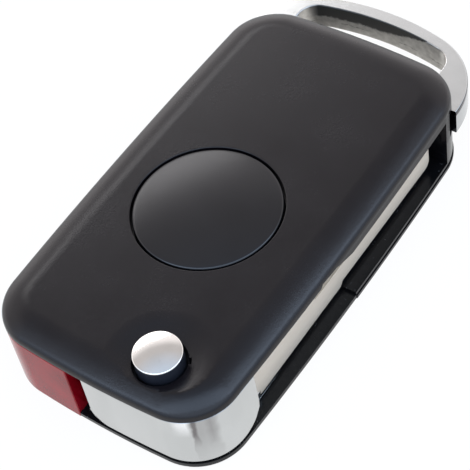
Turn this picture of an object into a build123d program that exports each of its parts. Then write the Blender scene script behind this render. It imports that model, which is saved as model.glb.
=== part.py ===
from build123d import *
import os
from math import sqrt

# Shell of a flip key fob, lying on its back with the blade folded in.
# X runs from the lens side to the blade side, Y from the lens end to the ring end, Z up.
# The origin is under the middle of the whole fob. All sizes are in millimetres.
# A name that ends in _y is a distance from the near end of the case, where the lens is.

# Case outline, seen from above
case_length = 61.9
case_width = 34.0
case_height = 12.3
side_bow = 0.65
near_bow = 0.85
far_bow = 1.0
corner_radius = 7.0
ring_reach = 7.25

# Walls and the joint between the two covers
wall = 1.6
roof = 1.6
floor = 0.95
parting_height = 5.3
lap_height = 1.2
lap_gap = 0.1
edge_run = 2.35
edge_drop = 1.25
edge_crown_radius = 7.0
edge_side_radius = 1.15
back_edge_radius = 0.4
part_gap = 0.05

# Windows in the side of the top cover, with their drop from its top
window_drop = 2.1
slot_lip_drop = 3.0
slot_end_inset = 6.9
notch_start_y = 24.6
notch_length = 4.0
notch_rise = 0.45
lip_ramp = 3.0

# Flip axis and release button
pivot_inset = 8.1
pivot_y = 6.0
release_radius = 3.0
release_hole_gap = 0.32
release_bore_gap = 0.07
release_travel = 2.0
release_stand = 1.8
release_cap_thickness = 0.5
keyway_width = 0.9
keyway_depth = 0.4
keyway_angle = 30
dish_radius = 7.3
dish_depth = 0.5
dish_bowl_share = 0.7
dish_lip_rise = 0.004
spindle_radius = 1.85
spindle_gap = 0.2
flange_gap = 0.5
flange_thickness = 0.8
wing_reach = 0.8
wing_width = 1.4
wing_gap = 0.1
wire_diameter = 0.6
wire_sides = 8
coil_turns = 4.0

# Hub
hub_reach = 7.95
hub_depth = 6.9
hub_inset = 0.1
hub_floor_gap = 0.2
hub_top_gap = 0.2
hub_foot_radius = 2.6
cheek_step = 2.1
cheek_corner_radius = 3.6
swing_gap = 0.2
cup_radius = 5.0
cup_roof_thickness = 2.5
neck_radius = 4.3
neck_top_gap = 0.1
running_gap = 0.08
bearing_height = 1.2
bearing_wall = 0.7

# Key blade
blade_inset = 2.0
blade_thickness = 2.5
blade_tip_gap = 1.7
shank_low_gap = 0.3
shank_high_gap = 0.35
cut_step = 0.7
low_shoulder_y = 30.7
high_shoulder_y = 26.4
shoulder_run = 0.6
mill_depth = 0.75
mill_lead = 1.2
mill_ramp = 2.4
blade_bevel = 0.3
tip_radius = 1.4
tang_length = 4.9
tang_step = 1.15
tang_gap = 0.02
pin_inset = 2.5
pin_radius = 0.75
pin_bore = 0.4
pin_slot = 0.3
channel_gap = 0.3
channel_wall = 0.9
inner_wall_gap = 0.2
pocket_wall = 1.0
pocket_top_gap = 0.3

# Lens at the near left corner
lens_hub_gap = 2.15
lens_wrap_y = 8.6
lens_wall = 2.0
lens_return_y = 3.4
lens_gap = 0.05

# Push button and its pad
button_x = -1.08
button_y = 27.2
button_radius = 9.48
button_gap = 0.28
button_sink = 0.05
button_crown = 0.45
button_rim_radius = 0.3
button_travel = 0.6
button_flange_reach = 0.82
button_flange_thickness = 0.5
button_flange_gap = 0.15
button_skin = 1.0
stem_radius = 2.6
stem_drop = 0.45
collar_gap = 0.2
collar_wall = 0.8
pad_rim_height = 1.0
pad_web = 0.3
pad_rim_width = 1.1

# Battery bay and its cover
cell_radius = 10.0
cell_gap = 0.2
bay_x = -1.9
bay_inset = 16.4
bay_wall = 0.8
bay_floor = 0.6
cover_lead = 4.0
cover_thickness = 0.8
cover_gap = 0.1
cover_proud = 0.12
rail_lead = 2.6
rail_foot = 1.2
rail_head = 2.0
rail_left_inset = 3.25
rail_right_inset = 2.15
rail_gap = 0.1
grip_count = 4
grip_length = 11.0
grip_width = 0.8
grip_depth = 0.25
grip_pitch = 1.7
grip_lead = 3.7

# Screws that hold the covers together
screw_post_radius = 1.5
screw_radius = 0.75
screw_clearance = 0.15
screw_head_radius = 1.35
screw_head_height = 0.9
screw_head_gap = 0.1
screw_bite = 3.0
screw_recess_radius = 0.55
screw_recess_depth = 0.5
screw_wall_gap = 0.6
screw_channel_gap = 0.1

# Key ring and the pins that hold its legs
ring_thickness = 4.0
ring_side_inset = 0.25
ring_bow = 4.4
ring_corner_radius = 10.8
ring_bar = 2.0
ring_leg_width = 5.45
ring_leg_length = 5.7
ring_shoulder_inset = 4.6
loop_bow = 1.6
loop_corner_radius = 2.8
ring_edge_radius = 0.2
ring_gap = 0.1
ring_pin_inset = 3.45
ring_pin_end_inset = 3.6
ring_pin_radius = 0.8
ring_pin_depth = 2.5

# Battery contacts, bent from strip
strip_thickness = 0.25
strip_width = 3.0
strip_drop = 2.6
plus_finger = 3.0
minus_finger = 4.5
finger_drop = 0.8
plus_angle = 90
minus_angle = 150

overall_length = case_length + ring_reach
near_end = -overall_length / 2
far_end = near_end + case_length
middle_y = (near_end + far_end) / 2
half_width = case_width / 2
reach_past = 1.0

# Heights
roof_under = case_height - roof
window_top = case_height - window_drop
slot_lip_top = case_height - slot_lip_drop
inner_wall_top = roof_under - inner_wall_gap
hub_low = floor + hub_floor_gap
hub_high = window_top - hub_top_gap
neck_high = roof_under - neck_top_gap
cup_roof = hub_high - cup_roof_thickness
flange_top = cup_roof - part_gap
flange_low = flange_top - flange_thickness
release_top = case_height + release_stand
shank_low = hub_low + shank_low_gap
shank_high = hub_high - shank_high_gap
cut_low = shank_low + cut_step
cut_high = shank_high - cut_step
tang_low = shank_low + tang_step
tang_high = shank_high - tang_step
button_edge_height = case_height - button_sink
button_flange_top = roof_under - button_flange_gap
button_flange_low = button_flange_top - button_flange_thickness
pad_top = button_flange_low - stem_drop - part_gap
pad_rim_top = button_flange_low - button_travel - button_flange_gap
collar_low = pad_rim_top - pad_rim_height
pocket_wall_top = collar_low - pocket_top_gap
cover_recess_top = cover_thickness + part_gap
bay_floor_top = cover_recess_top + bay_floor
ring_low = parting_height
ring_high = ring_low + ring_thickness

# Places across the case
blade_outer_x = half_width - blade_inset
blade_inner_x = blade_outer_x - blade_thickness
blade_middle_x = blade_outer_x - blade_thickness / 2
channel_x = blade_inner_x - channel_gap
channel_wall_x = channel_x - channel_wall
pivot_x = blade_outer_x - pivot_inset
hub_left = pivot_x - hub_reach
lens_right = hub_left - lens_hub_gap
rail_left = rail_left_inset - half_width
rail_right = channel_x - rail_right_inset
screw_left = wall + screw_wall_gap + screw_post_radius - half_width
screw_right = channel_wall_x - screw_channel_gap - screw_post_radius
ring_half_width = half_width - ring_side_inset
loop_half_width = ring_half_width - ring_leg_width
ring_pin_x = ring_half_width - ring_pin_inset

# Places along the case
slot_end_y = case_length - slot_end_inset
notch_end_y = notch_start_y + notch_length
lip_step_y = notch_end_y + lip_ramp
hub_back_y = pivot_y + hub_depth
cheek_back_y = hub_back_y - cheek_step
tang_front_y = hub_back_y - tang_length
pin_y = hub_back_y - pin_inset
mill_start_y = high_shoulder_y - mill_lead
blade_tip_y = slot_end_y - blade_tip_gap
bay_y = case_length - bay_inset
screw_y = (button_y + bay_y) / 2
rail_start_y = screw_y + rail_lead
ring_end_y = case_length + ring_reach
ring_leg_end_y = case_length - ring_leg_length
ring_shoulder_y = case_length - ring_shoulder_inset
ring_pin_y = case_length - ring_pin_end_inset

# Radii that fit one piece in another
release_hole_radius = release_radius + release_hole_gap
flange_radius = cup_radius - flange_gap
neck_hole_radius = neck_radius + running_gap
bearing_radius = cup_radius - running_gap
hub_swing = sqrt(hub_reach ** 2 + pivot_y ** 2)
pocket_radius = hub_swing + swing_gap
button_hole_radius = button_radius + button_gap
button_flange_radius = button_radius + button_flange_reach
collar_radius = button_flange_radius + collar_gap
collar_reach = collar_radius + collar_wall
bay_radius = cell_radius + cell_gap
cover_start_y = bay_y - bay_radius - cover_lead
grip_start_y = cover_start_y + grip_lead


def along(distance):
    return near_end + distance


def prism(face, low, high):
    return extrude(Pos(0, 0, low) * face, high - low)


def block(x_low, x_high, y_low, y_high, low, high):
    middle = Pos((x_low + x_high) / 2, along((y_low + y_high) / 2), (low + high) / 2)
    return middle * Box(x_high - x_low, y_high - y_low, high - low)


def drum(x, y, radius, low, high):
    return Pos(x, along(y), (low + high) / 2) * Cylinder(radius, high - low)


def tube(x, y, outer, inner, low, high):
    return drum(x, y, outer, low, high) - drum(x, y, inner, low - reach_past, high + reach_past)


# A face drawn as (y, z) points and pushed along X
def side_profile(points, x_low, x_high):
    corners = [(x_low, along(y), z) for y, z in points]
    return extrude(make_face(Polyline(corners, close=True)), x_high - x_low, dir=(1, 0, 0))


# A face drawn as (x, z) points and pushed along Y
def end_profile(points, y_low, y_high):
    corners = [(x, along(y_low), z) for x, z in points]
    return extrude(make_face(Polyline(corners, close=True)), y_high - y_low, dir=(0, 1, 0))


# Case outline with four bowed sides and round corners, made smaller by the inset
def case_outline(inset=0.0):
    side_x = half_width - inset
    corner_x = side_x - side_bow
    near = near_end + inset
    far = far_end - inset
    near_corner = near + near_bow
    far_corner = far - far_bow
    sides = [
        ThreePointArc((-corner_x, near_corner), (0, near), (corner_x, near_corner)),
        ThreePointArc((corner_x, near_corner), (side_x, middle_y), (corner_x, far_corner)),
        ThreePointArc((corner_x, far_corner), (0, far), (-corner_x, far_corner)),
        ThreePointArc((-corner_x, far_corner), (-side_x, middle_y), (-corner_x, near_corner)),
    ]
    face = make_face(sides)
    return fillet(face.vertices(), corner_radius - inset)


def case_slab(inset, low, high):
    return prism(case_outline(inset), low, high)


# Ring outline: straight arms, a bowed bar and large round corners
def loop_outline(side_x, end_y, bow, radius):
    low = along(ring_leg_end_y)
    top = along(end_y)
    sides = [
        Line((-side_x, top - bow), (-side_x, low)),
        Line((-side_x, low), (side_x, low)),
        Line((side_x, low), (side_x, top - bow)),
        ThreePointArc((side_x, top - bow), (0, top), (-side_x, top - bow)),
    ]
    face = make_face(sides)
    upper = face.vertices().sort_by(Axis.Y)[-2:]
    return fillet(upper, radius)


# Space that the ring takes in the case wall, with a gap all round
def ring_seat(gap):
    outer = loop_outline(ring_half_width + gap, ring_end_y + gap, ring_bow, ring_corner_radius)
    inner = loop_outline(loop_half_width - gap, ring_end_y - ring_bar - gap, loop_bow, loop_corner_radius)
    bar = prism(outer, ring_low - gap, ring_high + gap)
    return bar - prism(inner, ring_low - reach_past, ring_high + reach_past)


# Opening in the side walls above the lens, the hub and the blade
def window_cut(low):
    past_x = half_width + reach_past
    lens_hub = block(-past_x, past_x, -reach_past, lens_wrap_y + lens_gap, low, window_top)
    points = [
        (-reach_past, low),
        (-reach_past, window_top),
        (notch_start_y, window_top),
        (notch_start_y + notch_rise, window_top + notch_rise),
        (notch_end_y - notch_rise, window_top + notch_rise / 2),
        (notch_end_y, window_top),
        (lip_step_y, slot_lip_top),
        (slot_end_y, slot_lip_top),
        (slot_end_y, low),
    ]
    return lens_hub + side_profile(points, channel_x, past_x)


def lens_shape(gap, low, high):
    past_x = half_width + reach_past
    right = lens_right + gap
    slab = case_slab(-gap, low, high)
    rim = slab - case_slab(lens_wall + gap, low - reach_past, high + reach_past)
    rim &= block(-past_x, right, -reach_past, lens_wrap_y + gap, low, high)
    side = slab & block(right - lens_wall - 2 * gap, right, -reach_past, lens_return_y + gap, low, high)
    return rim + side


def soft_case_body():
    body = case_slab(0, parting_height, case_height)
    top = body.faces().sort_by(Axis.Z)[-1]
    body = chamfer(top.edges(), edge_run, edge_drop, reference=top)
    crown = body.faces().sort_by(Axis.Z)[-1].edges()
    body = fillet(crown, edge_crown_radius)
    shoulder_z = case_height - edge_drop
    shoulder = body.edges().filter_by_position(Axis.Z, shoulder_z - part_gap, shoulder_z + part_gap)
    return fillet(shoulder, edge_side_radius)


# Radius of the ball that has a cap this wide and this deep
def ball_radius(radius, depth):
    return (radius ** 2 + depth ** 2) / (2 * depth)


# Bowl and soft lip as two arcs that meet without a crease
def release_dish():
    low = case_height - dish_depth
    knee = (dish_radius * dish_bowl_share, low + dish_depth * dish_bowl_share)
    bowl = TangentArc((0, low), knee, tangent=(1, 0))
    lip = TangentArc(knee, (dish_radius, case_height + dish_lip_rise), tangent=bowl % 1)
    above = case_height + reach_past
    lid = Polyline((dish_radius, case_height + dish_lip_rise), (dish_radius, above), (0, above), (0, low))
    dish = revolve(make_face(Plane.XZ * (bowl + lip + lid)), Axis.Z)
    return Pos(pivot_x, along(pivot_y), 0) * dish


def release_keyway():
    key = Pos(release_hole_radius, 0, case_height) * Box(2 * keyway_depth, keyway_width, 2 * roof)
    return Pos(pivot_x, along(pivot_y), 0) * Rot(0, 0, keyway_angle) * key


def screw_places():
    return [screw_left, screw_right]


# Top cover: soft edged lid with skirts, collars and screw posts
def top_cover():
    cover = soft_case_body()
    cover -= case_slab(wall, parting_height, roof_under)
    cover -= case_slab(wall / 2, parting_height, parting_height + lap_height)
    cover += tube(button_x, button_y, collar_reach, collar_radius, collar_low, roof_under)
    collar_start_y = button_y - collar_reach
    collar_end_y = button_y + collar_reach
    wall_room_x = channel_wall_x - inner_wall_gap
    cover -= block(wall_room_x, channel_x, collar_start_y, collar_end_y, collar_low, roof_under)
    cover -= drum(pivot_x, pivot_y, neck_hole_radius, parting_height, roof_under)
    cover += tube(
        pivot_x, pivot_y, neck_hole_radius + collar_wall, neck_hole_radius, window_top, roof_under
    )
    for x in screw_places():
        cover += tube(x, screw_y, screw_post_radius, screw_radius, parting_height + part_gap, roof_under)
    cover -= drum(button_x, button_y, button_hole_radius, roof_under - reach_past, case_height + reach_past)
    cover -= release_dish()
    cover -= drum(pivot_x, pivot_y, release_hole_radius, roof_under - reach_past, case_height + reach_past)
    cover -= release_keyway()
    cover -= window_cut(parting_height - reach_past)
    return cover - ring_seat(ring_gap)


def rail_profile(gap, low, high, middle_x):
    foot = rail_foot / 2 + gap
    head = rail_head / 2 + gap
    return [
        (middle_x - foot, low),
        (middle_x + foot, low),
        (middle_x + head, high),
        (middle_x - head, high),
    ]


# Pocket wall behind the hub and the wall beside the blade
def inner_walls():
    outer = pocket_radius + pocket_wall
    pocket = tube(pivot_x, pivot_y, outer, pocket_radius, floor / 2, pocket_wall_top)
    pocket &= block(
        pivot_x - outer - reach_past, channel_x, pivot_y, pivot_y + outer + reach_past, 0, pocket_wall_top
    )
    side = block(channel_wall_x, channel_x, pivot_y, slot_end_y, floor / 2, inner_wall_top)
    side -= drum(pivot_x, pivot_y, pocket_radius, 0, case_height)
    return pocket + side


# Wall that closes the far end of the blade slot, and the pads under the ring legs
def far_corner_blocks():
    low = (bay_floor_top + cover_thickness) / 2
    end_wall_y = slot_end_y + channel_wall
    inner = case_slab(wall + part_gap, low, inner_wall_top)
    inner &= block(channel_wall_x, half_width, slot_end_y, end_wall_y, low, inner_wall_top)
    outer = case_slab(0, low, parting_height)
    outer &= block(channel_wall_x, half_width, slot_end_y, end_wall_y, low, parting_height)
    pads = case_slab(wall / 2, low, parting_height)
    pads &= block(loop_half_width, half_width, slot_end_y, case_length, low, parting_height) + block(
        -half_width, -loop_half_width, ring_leg_end_y - part_gap, case_length, low, parting_height
    )
    return inner + outer + pads


# Bottom cover: tray with a locating tongue, bearing, battery bay and screw posts
def bottom_cover():
    tray = case_slab(0, 0, parting_height)
    tray = fillet(tray.faces().sort_by(Axis.Z)[0].edges(), back_edge_radius)
    near_room = block(-half_width, half_width, 0, cover_start_y, floor, case_height)
    far_room = block(-half_width, half_width, cover_start_y, case_length, bay_floor_top, case_height)
    room = near_room + far_room
    tray -= case_slab(wall, 0, case_height) & room
    tongue_top = parting_height + lap_height - lap_gap
    tongue = case_slab(wall / 2 + lap_gap, parting_height - reach_past, tongue_top)
    tray += tongue - case_slab(wall, 0, case_height)
    past_x = half_width + reach_past
    past_y = case_length + reach_past
    lens_hub = block(-past_x, past_x, -reach_past, lens_wrap_y + lens_gap, floor, case_height)
    slot_near = block(channel_x, past_x, -reach_past, cover_start_y, floor, case_height)
    slot_far = block(channel_x, past_x, 0, slot_end_y, bay_floor_top, case_height)
    tray -= lens_hub + slot_near + slot_far
    tray += inner_walls() + far_corner_blocks()
    tray -= ring_seat(ring_gap) & block(-past_x, past_x, slot_end_y, ring_end_y, ring_low, case_height)
    tray -= lens_shape(lens_gap, -reach_past, case_height)
    bearing_bore = bearing_radius - bearing_wall
    tray += tube(pivot_x, pivot_y, bearing_radius, bearing_bore, floor / 2, floor + bearing_height)
    tray += drum(pivot_x, pivot_y, spindle_radius, floor / 2, cup_roof)
    tray -= block(-past_x, past_x, cover_start_y, past_y, -reach_past, cover_recess_top)
    tray += tube(bay_x, bay_y, bay_radius + bay_wall, bay_radius, cover_recess_top, parting_height)
    tray -= drum(bay_x, bay_y, bay_radius, 0, parting_height)
    for x in screw_places():
        tray += drum(x, screw_y, screw_post_radius + screw_clearance, cover_recess_top, parting_height)
        tray -= drum(x, screw_y, screw_radius + screw_clearance, 0, case_height)
        head_room = cover_recess_top + screw_head_gap + screw_head_height
        tray -= drum(x, screw_y, screw_head_radius + screw_head_gap, 0, head_room)
    for x in (rail_left, rail_right):
        groove = rail_profile(rail_gap, cover_thickness, bay_floor_top + part_gap, x)
        tray -= end_profile(groove, rail_start_y - rail_gap, past_y)
    for side in (-1, 1):
        tray -= drum(side * ring_pin_x, ring_pin_y, ring_pin_radius, ring_low - ring_pin_depth, ring_high)
    return tray


# Battery cover: thin plate that slides off towards the ring on two dovetail rails
def battery_cover():
    past_y = case_length + reach_past
    plate = case_slab(-cover_proud, 0, cover_thickness)
    plate = fillet(plate.faces().sort_by(Axis.Z)[0].edges(), back_edge_radius)
    plate &= block(-case_width, case_width, cover_start_y + cover_gap, past_y, 0, cover_thickness)
    for x in (rail_left, rail_right):
        rail = end_profile(rail_profile(0, cover_thickness, bay_floor_top, x), rail_start_y, past_y)
        plate += rail & case_slab(0, 0, case_height)
    grip = SlotOverall(grip_length, grip_width)
    for index in range(grip_count):
        y = along(grip_start_y + index * grip_pitch)
        plate -= extrude(Pos(0, y, 0) * grip, grip_depth)
    return plate


def ir_lens():
    return lens_shape(0, 0, window_top - part_gap)


# Push button: domed cap with a flange that keeps it under the roof
def button_cap():
    crown_top = button_edge_height + button_crown
    stem_low = button_flange_low - stem_drop
    skin_low = button_edge_height - button_skin
    profile = Polyline(
        (0, stem_low),
        (stem_radius, stem_low),
        (stem_radius, skin_low),
        (button_radius - button_skin, skin_low),
        (button_radius - button_skin, button_flange_low),
        (button_flange_radius, button_flange_low),
        (button_flange_radius, button_flange_top),
        (button_radius, button_flange_top),
        (button_radius, crown_top),
        (0, crown_top),
        close=True,
    )
    cap = revolve(make_face(Plane.XZ * profile), Axis.Z)
    ball = ball_radius(button_radius, button_crown)
    cap &= Pos(0, 0, crown_top - ball) * Sphere(ball)
    rim = cap.edges().filter_by_position(
        Axis.Z, button_edge_height - part_gap, button_edge_height + part_gap
    )
    cap = fillet(rim, button_rim_radius)
    return Pos(button_x, along(button_y), 0) * cap


# Rubber pad under the button: rim, thin web and a dome that pushes the button back up
def button_pad():
    rim_radius = collar_radius - part_gap
    web_top = pad_rim_top - pad_rim_height / 2
    profile = Polyline(
        (0, web_top + pad_web),
        (stem_radius, web_top + pad_web),
        (stem_radius + pad_web, web_top - pad_web),
        (rim_radius - pad_rim_width, web_top - pad_web),
        (rim_radius - pad_rim_width, collar_low),
        (rim_radius, collar_low),
        (rim_radius, pad_rim_top),
        (rim_radius - pad_rim_width, pad_rim_top),
        (rim_radius - pad_rim_width, web_top),
        (stem_radius + 2 * pad_web, web_top),
        (stem_radius, pad_top),
        (0, pad_top),
        close=True,
    )
    pad = revolve(make_face(Plane.XZ * profile), Axis.Z)
    return Pos(button_x, along(button_y), 0) * pad


def hub_plan_cut():
    outside = block(hub_left - reach_past, pivot_x, pivot_y, hub_back_y + reach_past, 0, case_height)
    return outside - drum(pivot_x, pivot_y, hub_swing, 0, case_height)


# Foot of the hub, rounded at the lens side
def hub_foot_cut():
    low = hub_low - reach_past
    corner = block(
        hub_left - reach_past, hub_left + hub_foot_radius, -reach_past, hub_back_y + reach_past, low,
        hub_low + hub_foot_radius,
    )
    bar = Cylinder(hub_foot_radius, hub_back_y + 4 * reach_past)
    middle = Pos(hub_left + hub_foot_radius, along(hub_back_y / 2), hub_low + hub_foot_radius)
    return corner - middle * Rot(90, 0, 0) * bar


# Outer cheek of the hub stops short of the blade and has a round lower corner
def cheek_cut():
    past_x = half_width + reach_past
    cut = block(blade_outer_x, past_x, cheek_back_y, hub_back_y + reach_past, 0, case_height)
    corner_y = cheek_back_y - cheek_corner_radius
    corner_z = hub_low + cheek_corner_radius
    corner = block(blade_outer_x, past_x, corner_y, cheek_back_y + reach_past, 0, corner_z)
    middle = Pos(blade_outer_x, along(corner_y), corner_z)
    bar = middle * Rot(0, 90, 0) * Cylinder(cheek_corner_radius, case_width)
    return cut + (corner - bar)


def tang(gap):
    return block(
        blade_inner_x - gap, blade_outer_x + gap, tang_front_y - gap, hub_back_y + part_gap, tang_low - gap,
        tang_high + gap,
    )


# Hub: turns about the release button and carries the blade
def flip_hub():
    hub = case_slab(hub_inset, hub_low, hub_high)
    hub &= block(hub_left, half_width, -reach_past, hub_back_y, 0, case_height)
    hub -= hub_plan_cut() + hub_foot_cut() + cheek_cut()
    hub += drum(pivot_x, pivot_y, neck_radius, hub_high - reach_past, neck_high)
    hub -= drum(pivot_x, pivot_y, cup_radius, 0, cup_roof)
    hub -= drum(pivot_x, pivot_y, release_radius + release_bore_gap, 0, case_height)
    reach = release_radius + wing_reach + wing_gap
    slot_top = hub_high + wing_gap
    slot = Box(2 * reach, wing_width + 2 * wing_gap, slot_top - flange_top)
    hub -= Pos(pivot_x, along(pivot_y), (slot_top + flange_top) / 2) * slot
    hub -= tang(tang_gap)
    return hub - drum(blade_middle_x, pin_y, pin_radius + tang_gap, 0, tang_high + part_gap)


# Blade: full shank, two shoulders and a stepped section milled from both faces
def key_blade():
    points = [
        (hub_back_y, shank_low),
        (low_shoulder_y, shank_low),
        (low_shoulder_y + shoulder_run, cut_low),
        (blade_tip_y, cut_low),
        (blade_tip_y, cut_high),
        (high_shoulder_y + shoulder_run, cut_high),
        (high_shoulder_y, shank_high),
        (hub_back_y, shank_high),
    ]
    blade = side_profile(points, blade_inner_x, blade_outer_x)
    tip = blade.edges().filter_by(Axis.X).sort_by(Axis.Y)[-2:]
    blade = fillet(tip, tip_radius)
    low_edges = blade.edges().filter_by(Axis.Y).sort_by(Axis.Z)[:4]
    blade = chamfer(low_edges, blade_bevel)
    middle = (cut_low + cut_high) / 2
    for face_x, turn, low, high in (
        (blade_outer_x, -1, middle, case_height),
        (blade_inner_x, 1, 0, middle),
    ):
        corners = [
            (face_x - turn * part_gap, along(mill_start_y)),
            (face_x + turn * mill_depth, along(mill_start_y + mill_ramp)),
            (face_x + turn * mill_depth, along(blade_tip_y + reach_past)),
            (face_x - turn * part_gap, along(blade_tip_y + reach_past)),
        ]
        blade -= prism(make_face(Polyline(corners, close=True)), low, high)
    blade += tang(0)
    return blade - drum(blade_middle_x, pin_y, pin_radius + tang_gap, 0, case_height)


# Slotted spring pin through the hub and the tang
def blade_pin():
    low = hub_low + swing_gap
    pin = tube(blade_middle_x, pin_y, pin_radius, pin_bore, low, tang_high)
    slot_near = pin_y - pin_slot / 2
    slot_far = pin_y + pin_slot / 2
    return pin - block(blade_middle_x, blade_middle_x + 2 * pin_radius, slot_near, slot_far, low, tang_high)


# Barrel of the release button, hollow over the spindle, with a flange and two wings
def release_barrel():
    barrel_low = floor + release_travel + swing_gap
    barrel_top = release_top - release_cap_thickness
    barrel = drum(pivot_x, pivot_y, release_radius, barrel_low, barrel_top)
    barrel += drum(pivot_x, pivot_y, flange_radius, flange_low, flange_top)
    reach = release_radius + wing_reach
    wings = Box(2 * reach, wing_width, hub_high - flange_low)
    barrel += Pos(pivot_x, along(pivot_y), (hub_high + flange_low) / 2) * wings
    hollow_top = cup_roof + release_travel + swing_gap
    return barrel - drum(pivot_x, pivot_y, spindle_radius + spindle_gap, 0, hollow_top)


def release_cap():
    cap = drum(pivot_x, pivot_y, release_radius, release_top - release_cap_thickness, release_top)
    return fillet(cap.faces().sort_by(Axis.Z)[-1].edges(), release_cap_thickness / 2)


# Coil spring between the bottom cover and the barrel's flange
def flip_spring():
    coil_radius = release_radius + spindle_gap + wire_diameter / 2
    low = floor + wire_diameter / 2 + part_gap
    high = flange_low - wire_diameter / 2 - part_gap
    coil = Helix((high - low) / coil_turns, high - low, coil_radius)
    wire = Plane(coil @ 0, z_dir=coil % 0) * RegularPolygon(wire_diameter / 2, wire_sides)
    spring = sweep(wire, path=coil, is_frenet=True)
    return Pos(pivot_x, along(pivot_y), low) * spring


# Key ring: cast loop whose two legs sit in the far corners of the case
def key_ring():
    ring = ring_seat(0)
    inside = case_slab(wall + ring_gap, 0, case_height)
    inside += block(-half_width, half_width, ring_shoulder_y, ring_end_y + reach_past, 0, case_height)
    ring &= inside
    outer_edges = ring.edges().filter_by_position(Axis.Y, far_end, far_end + 2 * ring_reach)
    flat_edges = [edge for edge in outer_edges if abs(edge.tangent_at(0.5).Z) < part_gap]
    ring = fillet(flat_edges, ring_edge_radius)
    for side in (-1, 1):
        ring -= drum(side * ring_pin_x, ring_pin_y, ring_pin_radius, 0, case_height)
    return ring


def ring_pin(side):
    return drum(side * ring_pin_x, ring_pin_y, ring_pin_radius, ring_low - ring_pin_depth, ring_high)


# Pan head screw driven in from the back, under the battery cover
def case_screw(x):
    head_low = cover_thickness + part_gap + screw_head_gap
    head_top = head_low + screw_head_height
    screw = drum(x, screw_y, screw_head_radius, head_low, head_top)
    screw += drum(x, screw_y, screw_radius, head_low, parting_height + screw_bite)
    arm = Box(2 * screw_recess_radius, screw_recess_radius / 2, 2 * screw_recess_depth)
    for turn in (0, 90):
        screw -= Pos(x, along(screw_y), head_low) * Rot(0, 0, turn) * arm
    return screw


# Contact strip that clips over the wall of the battery bay and springs into the bay
def contact_strip(angle, finger):
    outer = bay_radius + bay_wall
    inner = bay_radius - strip_thickness
    low = parting_height
    high = low + strip_thickness
    tip = inner - finger
    points = [
        (outer, low - strip_drop),
        (outer, low),
        (inner, low),
        (tip, low - finger_drop),
        (tip, high - finger_drop),
        (inner, high),
        (outer + strip_thickness, high),
        (outer + strip_thickness, low - strip_drop),
    ]
    corners = [(x, -strip_width / 2, z) for x, z in points]
    strip = extrude(make_face(Polyline(corners, close=True)), strip_width, dir=(0, 1, 0))
    return Pos(bay_x, along(bay_y), 0) * Rot(0, 0, angle) * strip


os.makedirs("parts", exist_ok=True)
nodes = {
    "top_cover": top_cover(),
    "bottom_cover": bottom_cover(),
    "battery_cover": battery_cover(),
    "ir_lens": ir_lens(),
    "button_cap": button_cap(),
    "button_pad": button_pad(),
    "flip_hub": flip_hub(),
    "key_blade": key_blade(),
    "blade_pin": blade_pin(),
    "release_barrel": release_barrel(),
    "release_cap": release_cap(),
    "flip_spring": flip_spring(),
    "key_ring": key_ring(),
    "ring_pin_left": ring_pin(-1),
    "ring_pin_right": ring_pin(1),
    "case_screw_left": case_screw(screw_left),
    "case_screw_right": case_screw(screw_right),
    "battery_contact_plus": contact_strip(plus_angle, plus_finger),
    "battery_contact_minus": contact_strip(minus_angle, minus_finger),
}
for name, solid in nodes.items():
    export_step(solid, f"parts/{name}.step")
    print(name, round(solid.volume, 2))
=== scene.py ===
import bpy
import bmesh
from math import cos, hypot, pi, radians, sin, sqrt
from mathutils import Matrix, Vector


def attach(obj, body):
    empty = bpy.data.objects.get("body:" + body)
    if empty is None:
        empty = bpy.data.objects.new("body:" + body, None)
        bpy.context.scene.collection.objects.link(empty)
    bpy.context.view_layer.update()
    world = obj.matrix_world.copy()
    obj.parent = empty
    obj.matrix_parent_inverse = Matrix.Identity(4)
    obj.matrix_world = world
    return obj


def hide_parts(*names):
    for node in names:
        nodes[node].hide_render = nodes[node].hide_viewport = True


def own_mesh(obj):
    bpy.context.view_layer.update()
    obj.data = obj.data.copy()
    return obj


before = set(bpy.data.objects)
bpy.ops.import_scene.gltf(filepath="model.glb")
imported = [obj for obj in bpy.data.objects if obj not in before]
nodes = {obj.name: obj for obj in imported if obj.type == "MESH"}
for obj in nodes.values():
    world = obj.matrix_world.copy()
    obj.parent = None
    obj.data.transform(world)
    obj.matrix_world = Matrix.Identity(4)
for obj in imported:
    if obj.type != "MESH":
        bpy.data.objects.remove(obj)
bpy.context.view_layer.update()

# Flip key fob shell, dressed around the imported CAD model. Sizes are in metres, but the spun
# profiles, the spring and the screws are given in millimetres and scaled when they are built.
mm = 0.001
pivot = (6.9 * mm, -28.575 * mm)  # axis that the hub and the release button share
buttonMiddle = (-1.08 * mm, -7.375 * mm)


# Small helpers for meshes

meshSet = {
    "nodeWeld": 0.002 * mm, "spunWeld": 0.001 * mm, "flatAngle": 0.1, "sharpAngle": 30.0,
    "roundSteps": 3,
}


def deselectAll():
    if bpy.context.object and bpy.context.object.mode != "OBJECT":
        bpy.ops.object.mode_set(mode="OBJECT")
    bpy.ops.object.select_all(action="DESELECT")


def makeActive(piece):
    deselectAll()
    piece.select_set(True)
    bpy.context.view_layer.objects.active = piece


def applyPlace(piece):
    makeActive(piece)
    bpy.ops.object.transform_apply(location=True, rotation=True, scale=True)


def applyModifier(piece, modifier):
    makeActive(piece)
    bpy.ops.object.modifier_apply(modifier=modifier.name)


def leaveEdit():
    bpy.ops.object.mode_set(mode="OBJECT")


def openMesh(piece, mode):
    # opens edit mode with nothing selected, and gives the mesh to pick from
    makeActive(piece)
    bpy.ops.object.mode_set(mode="EDIT")
    bpy.ops.mesh.select_mode(type=mode)
    bpy.ops.mesh.select_all(action="DESELECT")
    mesh = bmesh.from_edit_mesh(piece.data)
    mesh.normal_update()
    return mesh


def pick(piece, parts):
    # selects the given faces or edges and counts them
    for part in parts:
        part.select_set(True)
    bmesh.update_edit_mesh(piece.data)
    return len(parts)


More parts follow.
